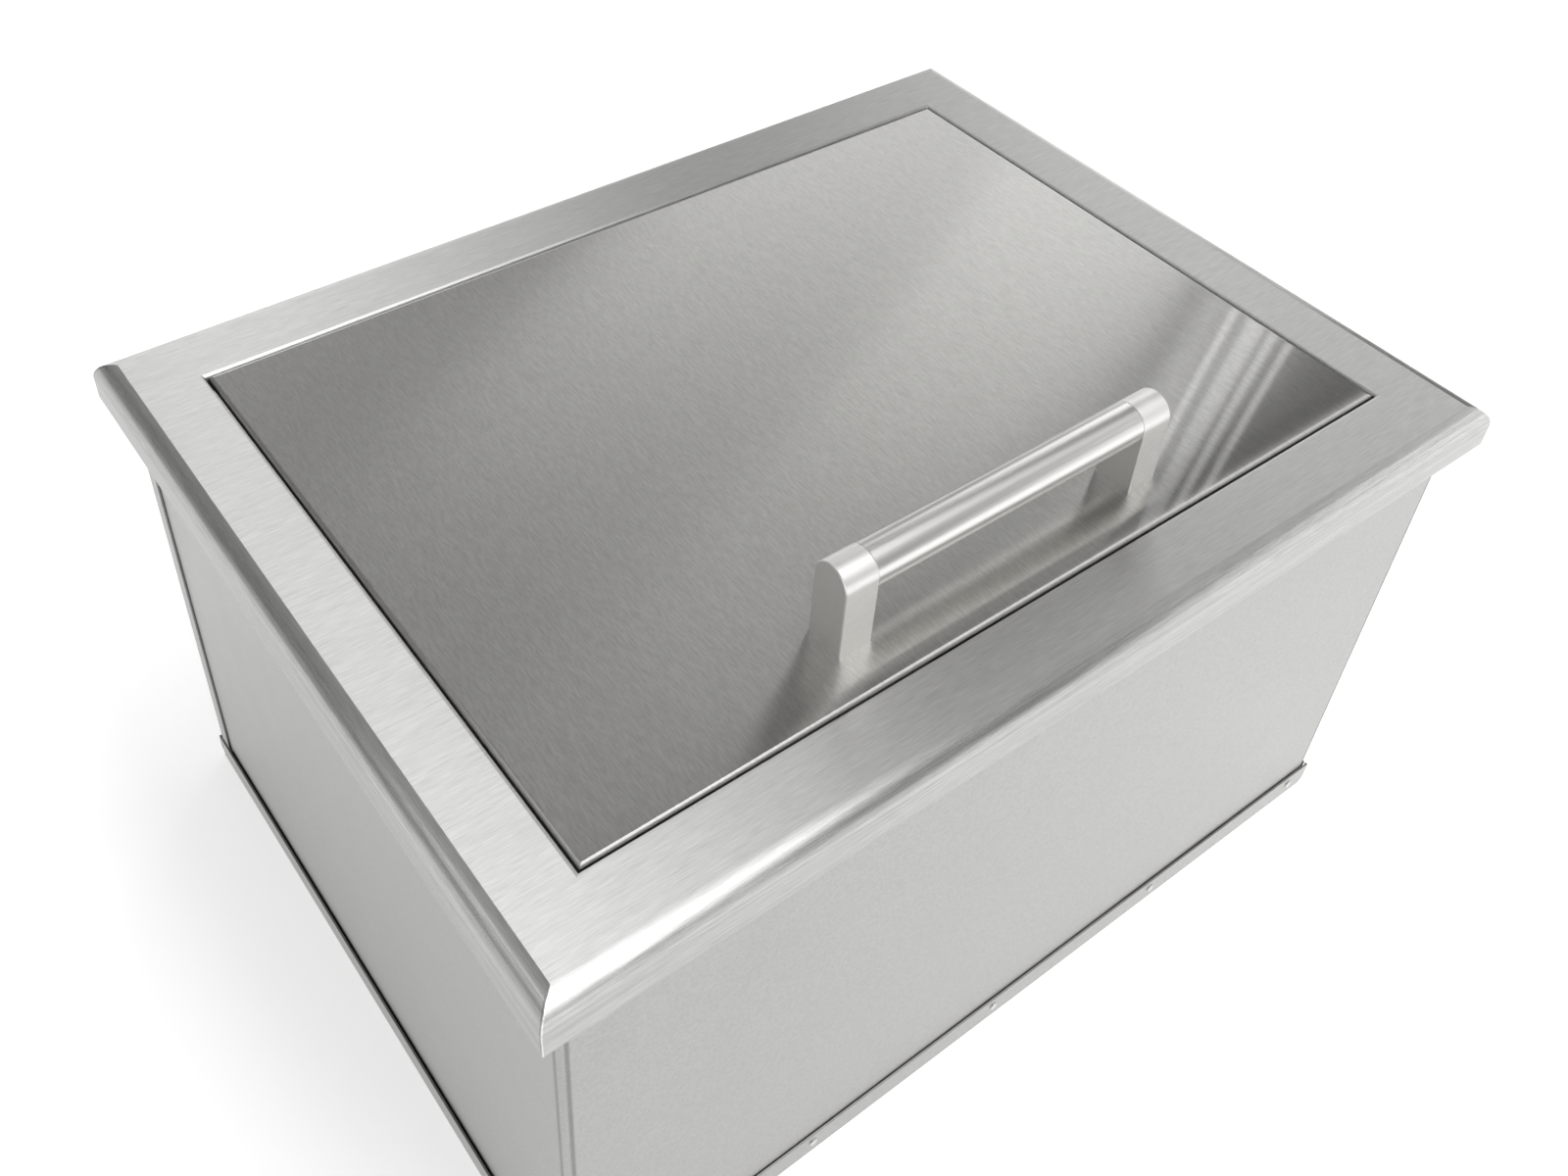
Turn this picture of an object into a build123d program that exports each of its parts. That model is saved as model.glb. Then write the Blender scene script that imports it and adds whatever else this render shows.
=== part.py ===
from build123d import *
import os

os.makedirs("parts", exist_ok=True)

# Drop-in ice bin with a lift-off lid: an insulated tank hung from a folded steel rim.
# Millimetres. The origin is under the middle of the bin, on the face it stands on.
# +X runs to the right along the long side, -Y is the handle's side, +Z is up.

# Overall size, over the rim and from the base to the flat of the rim
overall_width = 614.0
overall_depth = 464.0
body_height = 344.0

# Shared clearances: sheets that slide together, round parts in holes, foam round metal
sheet_clearance = 0.3
round_clearance = 0.3
foam_clearance = 0.3
overrun = 5.0

# Rim frame: flat rail, rounded outer edge with a return, lip turned down round the opening
rim_sheet = 1.2
rail_flat = 32.6
bullnose_radius = 11.5
edge_height = 28.5
edge_turn_radius = 4.0
return_width = 9.0
lip_turn_radius = 2.2
lip_height = 18.0
relief_length = 13.5
relief_depth = 1.2
rail_width = bullnose_radius + rail_flat + lip_turn_radius
opening_width = overall_width - 2 * rail_width
opening_depth = overall_depth - 2 * rail_width

# Body: front and sides folded from one sheet, the back's flanges lap over its ends
body_inset = 11.5
panel_sheet = 1.0
panel_bend_radius = 3.0
wrap_bend_radius = 4.0
corner_flange = 14.0
top_flange = 12.0
flange_gap = 1.0
body_width = overall_width - 2 * body_inset
body_depth = overall_depth - 2 * body_inset
panel_top = body_height - rim_sheet
wrap_width = body_width - 2 * (panel_sheet + sheet_clearance)
wrap_back = body_depth / 2 - panel_bend_radius

# Bottom pan: upturned flange outside the panels, its ends clipped round at the corners
pan_sheet = 1.2
pan_height = 20.0
pan_stand_off = 0.5
pan_side_gap = 1.0
pan_notch_gap = 1.0
pan_end_radius = 8.0
pan_slit = 0.8
pan_drain_radius = 28.0
pan_width = wrap_width + 2 * (pan_side_gap + pan_sheet)
pan_depth = body_depth + 2 * (pan_stand_off + pan_sheet)
panel_height = panel_top - pan_sheet

# Rivets through the pan's front and back flanges
rivet_count = 5
rivet_end_distance = 17.5
rivet_level = 12.0
rivet_head_radius = 2.6
rivet_head_height = 0.9
rivet_head_fillet = 0.6
rivet_shank_radius = 1.6
rivet_hole_radius = 1.8
rivet_tail_radius = 2.2
rivet_tail_length = 1.4
rivet_pitch = (body_width - 2 * rivet_end_distance) / (rivet_count - 1)

# Ice liner: ledge under the lid, coved basin, floor that falls to the drain
liner_sheet = 1.0
ledge_width = 16.0
ledge_overlap = 8.0
ledge_turn_radius = 1.5
basin_corner_radius = 20.0
cove_radius = 16.0
floor_level = 45.0
floor_fall = 5.0
drain_land = 110.0
drain_land_radius = 12.0
drain_recess_radius = 40.0
drain_recess_depth = 3.0
ledge_level = body_height - lip_height
basin_width = opening_width - 2 * ledge_width
basin_depth = opening_depth - 2 * ledge_width

# Drain, from the top: flange, seat cone, strainer shelf, threaded outlet
drain_flange_radius = 38.0
drain_flange_height = 2.0
drain_edge_chamfer = 0.8
drain_tube_radius = 22.0
drain_outlet_radius = 17.0
outlet_thread_radius = 12.3
outlet_thread_length = 18.0
outlet_recess = 4.0
seat_top_radius = 21.0
seat_bottom_radius = 18.0
seat_height = 6.5
shelf_radius = 15.0
shelf_height = 3.0
strainer_height = 2.0
strainer_hole_radius = 2.6
strainer_hole_circle = 10.5
strainer_hole_count = 6

# Drain seals and nut
top_gasket_height = 1.0
lower_gasket_height = 2.5
slip_washer_height = 1.0
gasket_radius = 33.0
locknut_radius = 33.5
locknut_height = 10.0
locknut_sides = 6
tube_below_nut = 2.5
drain_well_radius = 37.0

# Drain plug: tapered rubber stopper with a lip and a knob
plug_lip_radius = 25.0
plug_lip_height = 3.0
plug_lip_fillet = 1.2
plug_neck_radius = 5.5
plug_neck_height = 5.0
plug_knob_radius = 9.0
plug_knob_height = 5.0
plug_knob_fillet = 2.0

# Lid: outer skin, inner pan, foam core and gasket
lid_sheet = 1.2
lid_gap = 1.0
lid_edge_radius = 2.4
lid_height = 13.0
inner_pan_sheet = 0.9
inner_pan_height = 9.0
inner_pan_bend_radius = 1.5
dish_inset = 62.0
dish_height = 3.0
dish_corner_radius = 18.0
dish_taper = 45.0
gasket_inset = 2.5
gasket_width = 8.0
gasket_edge_fillet = 1.5
gasket_seat_gap = 0.2
lid_width = opening_width - 2 * lid_gap
lid_depth = opening_depth - 2 * lid_gap
lid_bottom = body_height - lid_height
gasket_height = lid_bottom - ledge_level - gasket_seat_gap

# Handle: round bar between two round-topped posts near the lid's front edge
handle_setback = 35.0
handle_centres = 192.0
post_width = 19.0
post_edge_chamfer = 0.5
bar_radius = 11.2
bar_end_chamfer = 0.4
handle_height = 51.5
spigot_radius = 6.0
spigot_length = 8.0
handle_y = handle_setback - lid_depth / 2

# Handle fasteners, driven up through the lid's skin
screw_radius = 3.0
screw_grip = 14.0
screw_head_radius = 5.2
screw_head_height = 4.0
screw_socket_radius = 2.3
screw_socket_depth = 2.4
screw_socket_sides = 6
washer_radius = 8.0
washer_height = 1.5
screw_hole_radius = 3.3


def folded_section(points, bends, sheet):
    """Section of a folded sheet whose outer face follows the points, the sheet on their right."""
    outer_face = FilletPolyline(*points, radius=bends)
    outline = outer_face.offset_2d(sheet, side=Side.RIGHT, closed=True)
    return make_face(outline.edges())


def block(x_range, y_range, z_range):
    """Box between low and high values along each axis."""
    size = [high - low for low, high in (x_range, y_range, z_range)]
    low_corner = (x_range[0], y_range[0], z_range[0])
    return Pos(*low_corner) * Box(*size, align=(Align.MIN, Align.MIN, Align.MIN))


def mitred_ring(section, half_width, half_depth, reach, height):
    """Four folded sides round an opening, mitred at 45 degrees and joined into one sheet."""
    sides = []
    for half_long, half_short, turn in ((half_width, half_depth, 0), (half_depth, half_width, 90)):
        across = Plane(origin=(0, -half_short, 0), x_dir=(0, -1, 0), z_dir=(-1, 0, 0))
        bar = extrude(across * section, amount=half_long + reach, both=True)
        corners = [
            (-half_long - reach, -half_short - reach),
            (half_long + reach, -half_short - reach),
            (half_long - overrun, -half_short + overrun),
            (-half_long + overrun, -half_short + overrun),
        ]
        mitre = extrude(make_face(Polyline(*corners, close=True)), amount=height, both=True)
        side = bar & mitre
        sides += [Rot(0, 0, turn) * side, Rot(0, 0, turn + 180) * side]
    return sides[0] + sides[1:]


def turned(points):
    """Round solid about the Z axis from (radius, height) points."""
    return revolve(Plane.XZ * make_face(Polyline(*points, close=True)), axis=Axis.Z)


def tube(outer_radius, inner_radius, low, high):
    """Plain ring about the Z axis."""
    outer = Cylinder(outer_radius, high - low, align=(Align.CENTER, Align.CENTER, Align.MIN))
    inner = Cylinder(inner_radius, high - low + overrun, align=(Align.CENTER, Align.CENTER, Align.MIN))
    return Pos(0, 0, low) * (outer - Pos(0, 0, -overrun / 2) * inner)


def turned_about(shape):
    """The same piece on the opposite side of the bin."""
    return Rot(0, 0, 180) * shape


# Rim
def make_rim_frame():
    outline = [
        (0, -lip_height),
        (0, 0),
        (rail_width, 0),
        (rail_width, -edge_height),
        (rail_width - return_width, -edge_height),
    ]
    section = folded_section(outline, [lip_turn_radius, bullnose_radius, edge_turn_radius], rim_sheet)
    reach = rail_width + overrun
    ring = mitred_ring(section, opening_width / 2, opening_depth / 2, reach, edge_height + overrun)
    relief = block(
        (-opening_width / 2 - relief_depth, -opening_width / 2 + overrun),
        (opening_depth / 2 - relief_length, opening_depth / 2),
        (-lip_height - overrun, overrun),
    )
    return Pos(0, 0, body_height) * (ring - relief)


# Body sheets
def turned_top():
    """Section of a body sheet from its foot to its top edge, which is turned inwards."""
    upright = [
        (0, 0),
        (0, panel_height),
        (top_flange, panel_height),
    ]
    return folded_section(upright, panel_bend_radius, panel_sheet)


def make_body_wrap():
    """Front and both sides from one sheet, bent round the front corners."""
    half_width, half_depth = wrap_width / 2, body_depth / 2
    plan = [
        (half_width, wrap_back),
        (half_width, -half_depth),
        (-half_width, -half_depth),
        (-half_width, wrap_back),
    ]
    wrap = extrude(folded_section(plan, wrap_bend_radius, panel_sheet), amount=panel_height - top_flange)
    front_face = Plane(origin=(0, -half_depth, 0), x_dir=(0, 1, 0), z_dir=(1, 0, 0))
    front = extrude(front_face * turned_top(), amount=half_width - wrap_bend_radius, both=True)
    side_face = Plane(origin=(-half_width, wrap_back, 0), x_dir=(1, 0, 0), z_dir=(0, -1, 0))
    side = extrude(side_face * turned_top(), amount=wrap_back + half_depth - wrap_bend_radius)
    notch_length = top_flange + flange_gap
    for notch_start in (-half_depth, half_depth - notch_length):
        side -= block(
            (-half_width - overrun, -half_width + top_flange + overrun),
            (notch_start, notch_start + notch_length),
            (panel_height - panel_bend_radius - flange_gap, panel_height + overrun),
        )
    sheet = wrap + front + side + mirror(side, Plane.YZ)
    return Pos(0, 0, pan_sheet) * sheet - rivet_row(rivet_hole)


def make_back_panel():
    """Back sheet whose side flanges lap over the ends of the wrap."""
    half_width, half_depth = body_width / 2, body_depth / 2
    plan = [
        (half_width, -half_depth + corner_flange),
        (half_width, -half_depth),
        (-half_width, -half_depth),
        (-half_width, -half_depth + corner_flange),
    ]
    wrap = extrude(folded_section(plan, panel_bend_radius, panel_sheet), amount=panel_height - top_flange)
    back_face = Plane(origin=(0, -half_depth, 0), x_dir=(0, 1, 0), z_dir=(1, 0, 0))
    flat = extrude(back_face * turned_top(), amount=half_width - panel_bend_radius, both=True)
    notch = block(
        (half_width - panel_bend_radius, half_width + overrun),
        (-half_depth - overrun, -half_depth + corner_flange + overrun),
        (-overrun, pan_height - pan_sheet + pan_notch_gap),
    )
    sheet = wrap + flat - notch - mirror(notch, Plane.YZ)
    return turned_about(Pos(0, 0, pan_sheet) * sheet - rivet_row(rivet_hole))


# Bottom pan and its rivets
def rivet_row(make_one):
    """One row of the same piece along the front of the body."""
    first = rivet_end_distance - body_width / 2
    places = [Pos(first + step * rivet_pitch, -body_depth / 2, rivet_level) for step in range(rivet_count)]
    return [place * make_one() for place in places]


def rivet_hole():
    return Rot(90, 0, 0) * Cylinder(rivet_hole_radius, 2 * overrun)


def rivet():
    """Rounded head on the pan, shank through both sheets, spread tail behind the panel."""
    flange_out = pan_stand_off + pan_sheet
    head = Cylinder(rivet_head_radius, rivet_head_height, align=(Align.CENTER, Align.CENTER, Align.MIN))
    head = fillet(head.faces().sort_by(Axis.Z)[-1].edges(), rivet_head_fillet)
    shank = Cylinder(rivet_shank_radius, flange_out + panel_sheet, align=(Align.CENTER, Align.CENTER, Align.MIN))
    tail = Cylinder(rivet_tail_radius, rivet_tail_length, align=(Align.CENTER, Align.CENTER, Align.MAX))
    return Rot(90, 0, 0) * (Pos(0, 0, flange_out) * head + Pos(0, 0, -panel_sheet) * (shank + tail))


def tail_pocket():
    radius = rivet_tail_radius + foam_clearance
    depth = panel_sheet + rivet_tail_length + foam_clearance
    return Rot(90, 0, 0) * Cylinder(radius, depth, align=(Align.CENTER, Align.CENTER, Align.MAX))


def make_rivets():
    return Compound(children=rivet_row(rivet))


def make_bottom_pan():
    outer = block(
        (-pan_width / 2, pan_width / 2),
        (-pan_depth / 2, pan_depth / 2),
        (0, pan_height),
    )
    outer = fillet(outer.faces().sort_by(Axis.Z)[0].edges(), pan_stand_off + pan_sheet)
    inner = block(
        (pan_sheet - pan_width / 2, pan_width / 2 - pan_sheet),
        (pan_sheet - pan_depth / 2, pan_depth / 2 - pan_sheet),
        (pan_sheet, pan_height + overrun),
    )
    inner = fillet(inner.faces().sort_by(Axis.Z)[0].edges(), pan_stand_off)
    tray = outer - inner
    end_cut = pan_sheet + pan_stand_off + pan_slit
    clip = block(
        (pan_width / 2 - pan_end_radius, pan_width / 2 + overrun),
        (-pan_depth / 2 - overrun, end_cut - pan_depth / 2),
        (-overrun, pan_end_radius),
    )
    round_end = Pos(pan_width / 2 - pan_end_radius, -pan_depth / 2, pan_end_radius) * Rot(90, 0, 0)
    clip -= round_end * Cylinder(pan_end_radius, 2 * (overrun + end_cut))
    slit = block(
        (pan_width / 2 - pan_sheet - overrun / 2, pan_width / 2 + overrun),
        (end_cut - pan_slit - pan_depth / 2, end_cut - pan_depth / 2),
        (pan_end_radius / 2, pan_height + overrun),
    )
    corner = [clip, slit]
    corner += [mirror(cut, Plane.YZ) for cut in corner]
    corner += [mirror(cut, Plane.XZ) for cut in corner]
    holes = rivet_row(rivet_hole)
    holes += [turned_about(one) for one in holes]
    return tray - corner - holes - Cylinder(pan_drain_radius, 2 * overrun)


# Ice liner
def basin(offset):
    """Solid that fills the basin up to the ledge, grown outwards by an offset."""
    plan = RectangleRounded(
        basin_width + 2 * offset,
        basin_depth + 2 * offset,
        basin_corner_radius + offset,
    )
    floor = floor_level - offset
    well = Pos(0, 0, floor) * extrude(plan, amount=ledge_level - floor)
    well = fillet(well.faces().sort_by(Axis.Z)[0].edges(), cove_radius + offset)
    rim_plan = RectangleRounded(
        basin_width - 2 * cove_radius,
        basin_depth - 2 * cove_radius,
        basin_corner_radius - cove_radius,
    )
    land_plan = RectangleRounded(drain_land, drain_land, drain_land_radius)
    land = floor - floor_fall
    fall = loft([Pos(0, 0, floor) * rim_plan, Pos(0, 0, land) * land_plan], ruled=True)
    recess = Cylinder(
        drain_recess_radius + offset,
        drain_recess_depth + floor_fall / 2,
        align=(Align.CENTER, Align.CENTER, Align.MIN),
    )
    return well + fall + Pos(0, 0, land - drain_recess_depth) * recess


def make_ice_liner():
    ledge_plan = Rectangle(opening_width + 2 * ledge_overlap, opening_depth + 2 * ledge_overlap)
    ledge = Pos(0, 0, ledge_level) * extrude(ledge_plan, amount=-liner_sheet)
    inside = basin(0)
    drain_hole = Cylinder(drain_tube_radius + round_clearance, 2 * floor_level)
    shell = ledge + basin(liner_sheet) - inside - drain_hole
    turn_edges = shell.edges().filter_by_position(Axis.Z, ledge_level, ledge_level)
    half_width, half_depth = basin_width / 2 + ledge_turn_radius, basin_depth / 2 + ledge_turn_radius
    turn_edges = turn_edges.filter_by_position(Axis.X, -half_width, half_width)
    turn_edges = turn_edges.filter_by_position(Axis.Y, -half_depth, half_depth)
    return fillet(turn_edges, ledge_turn_radius)


# Insulation
foam_width = wrap_width - 2 * wrap_bend_radius
foam_side_face = wrap_width / 2 - panel_sheet
foam_depth = body_depth - 2 * panel_sheet
foam_split = floor_level - liner_sheet - foam_clearance
foam_top = ledge_level - liner_sheet
slab_face = basin_depth / 2 + liner_sheet + foam_clearance


def foam_piece(x_range, y_range, z_range):
    hollow = basin(liner_sheet + foam_clearance)
    return block(x_range, y_range, z_range) - hollow


def make_foam_bottom():
    slab = foam_piece(
        (-foam_width / 2, foam_width / 2),
        (-foam_depth / 2, foam_depth / 2),
        (pan_sheet, foam_split),
    )
    pockets = rivet_row(tail_pocket)
    pockets += [turned_about(one) for one in pockets]
    return slab - pockets - Cylinder(drain_well_radius, 2 * floor_level)


def make_foam_front():
    return block(
        (-foam_width / 2, foam_width / 2),
        (-foam_depth / 2, -slab_face),
        (foam_split, foam_top),
    )


def make_foam_left():
    return foam_piece(
        (-foam_side_face, -basin_width / 2 + basin_corner_radius),
        (-slab_face, slab_face),
        (foam_split, foam_top),
    )


# Drain
recess_floor = floor_level - floor_fall - drain_recess_depth
drain_flange_bottom = recess_floor + top_gasket_height
drain_top = drain_flange_bottom + drain_flange_height
recess_underside = recess_floor - liner_sheet
slip_washer_top = recess_underside - lower_gasket_height
locknut_top = slip_washer_top - slip_washer_height
tube_bottom = locknut_top - locknut_height - tube_below_nut
shelf_bottom = outlet_recess + outlet_thread_length
shelf_top = shelf_bottom + shelf_height
gasket_bore = drain_tube_radius + round_clearance


def make_drain_body():
    return turned(
        [
            (seat_top_radius, drain_top),
            (drain_flange_radius - drain_edge_chamfer, drain_top),
            (drain_flange_radius, drain_top - drain_edge_chamfer),
            (drain_flange_radius, drain_flange_bottom),
            (drain_tube_radius, drain_flange_bottom),
            (drain_tube_radius, tube_bottom),
            (drain_outlet_radius, tube_bottom),
            (drain_outlet_radius, outlet_recess),
            (outlet_thread_radius, outlet_recess),
            (outlet_thread_radius, shelf_bottom),
            (shelf_radius, shelf_bottom),
            (shelf_radius, shelf_top),
            (seat_bottom_radius, shelf_top),
            (seat_bottom_radius, drain_top - seat_height),
        ]
    )


def make_drain_strainer():
    plate = Cylinder(
        seat_bottom_radius - round_clearance,
        strainer_height,
        align=(Align.CENTER, Align.CENTER, Align.MIN),
    )
    hole = Cylinder(strainer_hole_radius, 2 * (strainer_height + overrun))
    ring = [one * hole for one in PolarLocations(strainer_hole_circle, strainer_hole_count)]
    return Pos(0, 0, shelf_top) * (plate - ring - hole)


def make_drain_locknut():
    hexagon = RegularPolygon(locknut_radius, locknut_sides)
    nut = Pos(0, 0, locknut_top) * extrude(hexagon, amount=-locknut_height)
    return nut - Cylinder(gasket_bore, 2 * (locknut_top + overrun))


def make_drain_plug():
    bottom = drain_top - seat_height
    lip_bottom = drain_top + round_clearance
    lip_top = lip_bottom + plug_lip_height
    knob_bottom = lip_top + plug_neck_height
    knob_top = knob_bottom + plug_knob_height
    plug = turned(
        [
            (0, bottom),
            (seat_bottom_radius - round_clearance, bottom),
            (seat_top_radius - round_clearance, drain_top),
            (seat_top_radius - round_clearance, lip_bottom),
            (plug_lip_radius, lip_bottom),
            (plug_lip_radius, lip_top),
            (plug_neck_radius, lip_top),
            (plug_neck_radius, knob_bottom),
            (plug_knob_radius, knob_bottom),
            (plug_knob_radius, knob_top),
            (0, knob_top),
        ]
    )
    lip_edge = plug.edges().filter_by_position(Axis.Z, lip_top, lip_top).sort_by(SortBy.LENGTH)[-1]
    plug = fillet(lip_edge, plug_lip_fillet)
    return fillet(plug.edges().filter_by_position(Axis.Z, knob_top, knob_top), plug_knob_fillet)


# Lid
def lid_block(inset, height, radius):
    """Lid outline pulled in on every side, hanging from the skin's top, its upper edges rounded."""
    shape = Box(
        lid_width - 2 * inset,
        lid_depth - 2 * inset,
        height,
        align=(Align.CENTER, Align.CENTER, Align.MAX),
    )
    return fillet(shape.faces().sort_by(Axis.Z)[-1].edges(), radius)


def handle_screw_places():
    return [Pos(side * handle_centres / 2, handle_y, 0) for side in (-1, 1)]


def make_lid_skin():
    outer = lid_block(0, lid_height, lid_edge_radius)
    inner = Pos(0, 0, -lid_sheet) * lid_block(lid_sheet, lid_height, lid_edge_radius - lid_sheet)
    holes = [place * Cylinder(screw_hole_radius, 2 * overrun) for place in handle_screw_places()]
    return Pos(0, 0, body_height) * (outer - inner - holes)


def dish(grow):
    """Shallow tapered field pressed up into the inner pan, grown by a sheet or a clearance."""
    plan = RectangleRounded(
        lid_width - 2 * dish_inset + 2 * grow,
        lid_depth - 2 * dish_inset + 2 * grow,
        dish_corner_radius + grow,
    )
    return extrude(plan, amount=dish_height, taper=dish_taper)


def make_lid_inner_pan():
    inset = lid_sheet + sheet_clearance
    outer = Box(
        lid_width - 2 * inset,
        lid_depth - 2 * inset,
        inner_pan_height,
        align=(Align.CENTER, Align.CENTER, Align.MIN),
    )
    outer = fillet(outer.faces().sort_by(Axis.Z)[0].edges(), inner_pan_bend_radius)
    inner = Box(
        lid_width - 2 * (inset + inner_pan_sheet),
        lid_depth - 2 * (inset + inner_pan_sheet),
        inner_pan_height,
        align=(Align.CENTER, Align.CENTER, Align.MIN),
    )
    inner = fillet(inner.faces().sort_by(Axis.Z)[0].edges(), inner_pan_bend_radius - inner_pan_sheet)
    tray = outer - Pos(0, 0, inner_pan_sheet) * inner
    pressed = Pos(0, 0, inner_pan_sheet) * dish(inner_pan_sheet / 2)
    hollow = dish(-inner_pan_sheet / 2)
    return Pos(0, 0, lid_bottom) * (tray + pressed - hollow)


def make_lid_foam():
    inset = lid_sheet + sheet_clearance + inner_pan_sheet + foam_clearance
    floor = lid_bottom + inner_pan_sheet
    core = block(
        (inset - lid_width / 2, lid_width / 2 - inset),
        (inset - lid_depth / 2, lid_depth / 2 - inset),
        (floor + foam_clearance, body_height - lid_sheet),
    )
    radius = washer_radius + foam_clearance
    depth = washer_height + screw_head_height + foam_clearance
    pocket = Pos(0, 0, body_height - lid_sheet - depth) * Cylinder(
        radius, depth + overrun, align=(Align.CENTER, Align.CENTER, Align.MIN)
    )
    pockets = [place * pocket for place in handle_screw_places()]
    return core - Pos(0, 0, floor) * dish(inner_pan_sheet / 2 + foam_clearance) - pockets


def make_lid_gasket():
    outer = Rectangle(lid_width - 2 * gasket_inset, lid_depth - 2 * gasket_inset)
    inner_cut = gasket_inset + gasket_width
    inner = Rectangle(lid_width - 2 * inner_cut, lid_depth - 2 * inner_cut)
    strip = Pos(0, 0, lid_bottom) * extrude(outer - inner, amount=-gasket_height)
    return fillet(strip.faces().sort_by(Axis.Z)[0].edges(), gasket_edge_fillet)


# Handle
post_inner = (handle_centres - post_width) / 2
bar_height = handle_height - bar_radius


def make_left_post():
    plan = make_face(
        [
            Line((-bar_radius, 0), (bar_radius, 0)),
            Line((bar_radius, 0), (bar_radius, bar_height)),
            ThreePointArc((bar_radius, bar_height), (0, handle_height), (-bar_radius, bar_height)),
            Line((-bar_radius, bar_height), (-bar_radius, 0)),
        ]
    )
    outer_x = post_inner + post_width
    face = Plane(origin=(-outer_x, handle_y, body_height), x_dir=(0, 1, 0), z_dir=(1, 0, 0))
    post = extrude(face * plan, amount=post_width)
    outer_edges = post.faces().sort_by(Axis.X)[0].edges()
    post = chamfer(outer_edges.filter_by_position(Axis.Z, body_height + bar_radius, 2 * body_height), post_edge_chamfer)
    socket = Cylinder(spigot_radius + round_clearance, 2 * (spigot_length + sheet_clearance))
    socket = Pos(-post_inner, handle_y, body_height + bar_height) * Rot(0, 90, 0) * socket
    tapped = Cylinder(screw_radius + round_clearance, 2 * (screw_grip - lid_sheet + sheet_clearance))
    tapped = Pos(-handle_centres / 2, handle_y, body_height) * tapped
    return post - socket - tapped


def make_handle_bar():
    bar = Cylinder(bar_radius, 2 * post_inner)
    bar = chamfer(bar.edges().filter_by(GeomType.CIRCLE), bar_end_chamfer)
    spigot = Cylinder(spigot_radius, 2 * (post_inner + spigot_length))
    return Pos(0, handle_y, body_height + bar_height) * Rot(0, 90, 0) * (bar + spigot)


def make_handle_screws():
    shank = Cylinder(screw_radius, screw_grip + washer_height, align=(Align.CENTER, Align.CENTER, Align.MIN))
    head = Cylinder(screw_head_radius, screw_head_height, align=(Align.CENTER, Align.CENTER, Align.MAX))
    key = RegularPolygon(screw_socket_radius, screw_socket_sides)
    socket = Pos(0, 0, -screw_head_height) * extrude(key, amount=screw_socket_depth)
    screw = Pos(0, 0, body_height - lid_sheet - washer_height) * (head + shank - socket)
    return Compound(children=[place * screw for place in handle_screw_places()])


def make_handle_washers():
    top = body_height - lid_sheet
    washer = tube(washer_radius, screw_hole_radius, top - washer_height, top)
    return Compound(children=[place * washer for place in handle_screw_places()])


rim_frame = make_rim_frame()
front_rivets = make_rivets()
foam_front = make_foam_front()
foam_left = make_foam_left()
left_post = make_left_post()

nodes = {
    "rim_frame": rim_frame,
    "body_wrap": make_body_wrap(),
    "back_panel": make_back_panel(),
    "bottom_pan": make_bottom_pan(),
    "front_rivets": front_rivets,
    "back_rivets": turned_about(front_rivets),
    "ice_liner": make_ice_liner(),
    "foam_bottom": make_foam_bottom(),
    "foam_front": foam_front,
    "foam_back": turned_about(foam_front),
    "foam_left": foam_left,
    "foam_right": turned_about(foam_left),
    "drain_body": make_drain_body(),
    "drain_strainer": make_drain_strainer(),
    "drain_top_gasket": tube(drain_flange_radius, gasket_bore, recess_floor, drain_flange_bottom),
    "drain_lower_gasket": tube(gasket_radius, gasket_bore, slip_washer_top, recess_underside),
    "drain_slip_washer": tube(gasket_radius, gasket_bore, locknut_top, slip_washer_top),
    "drain_locknut": make_drain_locknut(),
    "drain_plug": make_drain_plug(),
    "lid_skin": make_lid_skin(),
    "lid_inner_pan": make_lid_inner_pan(),
    "lid_foam": make_lid_foam(),
    "lid_gasket": make_lid_gasket(),
    "handle_post_left": left_post,
    "handle_post_right": mirror(left_post, Plane.YZ),
    "handle_bar": make_handle_bar(),
    "handle_screws": make_handle_screws(),
    "handle_washers": make_handle_washers(),
}

for name, shape in nodes.items():
    export_step(shape, f"parts/{name}.step")
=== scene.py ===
import bpy
import math
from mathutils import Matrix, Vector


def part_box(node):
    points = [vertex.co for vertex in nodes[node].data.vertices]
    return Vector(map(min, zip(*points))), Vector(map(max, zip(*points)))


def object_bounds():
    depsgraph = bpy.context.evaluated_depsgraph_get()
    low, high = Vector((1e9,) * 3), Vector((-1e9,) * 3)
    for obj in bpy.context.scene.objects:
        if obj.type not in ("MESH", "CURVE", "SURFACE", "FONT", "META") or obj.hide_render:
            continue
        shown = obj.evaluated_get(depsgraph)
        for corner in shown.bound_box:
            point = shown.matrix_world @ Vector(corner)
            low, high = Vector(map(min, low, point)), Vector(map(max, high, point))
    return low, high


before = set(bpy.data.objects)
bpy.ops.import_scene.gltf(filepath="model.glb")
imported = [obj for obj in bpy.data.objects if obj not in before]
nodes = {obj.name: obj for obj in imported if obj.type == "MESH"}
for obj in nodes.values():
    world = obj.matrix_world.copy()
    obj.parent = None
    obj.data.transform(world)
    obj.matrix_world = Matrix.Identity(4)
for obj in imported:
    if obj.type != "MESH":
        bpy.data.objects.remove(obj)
cad_low, cad_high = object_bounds()

# Sizes in metres that the finishes follow, from the CAD
half_length = cad_high.x
half_depth = cad_high.y
bullnose = 0.0115
rim_top = 0.344
lid_front = -0.1847
bend_radius = 0.004

# Plain helpers for node trees


def add(tree, kind, **settings):
    node = tree.nodes.new(kind)
    for key, value in settings.items():
        setattr(node, key, value)
    return node


def link(tree, source, target):
    tree.links.new(source, target)


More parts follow.
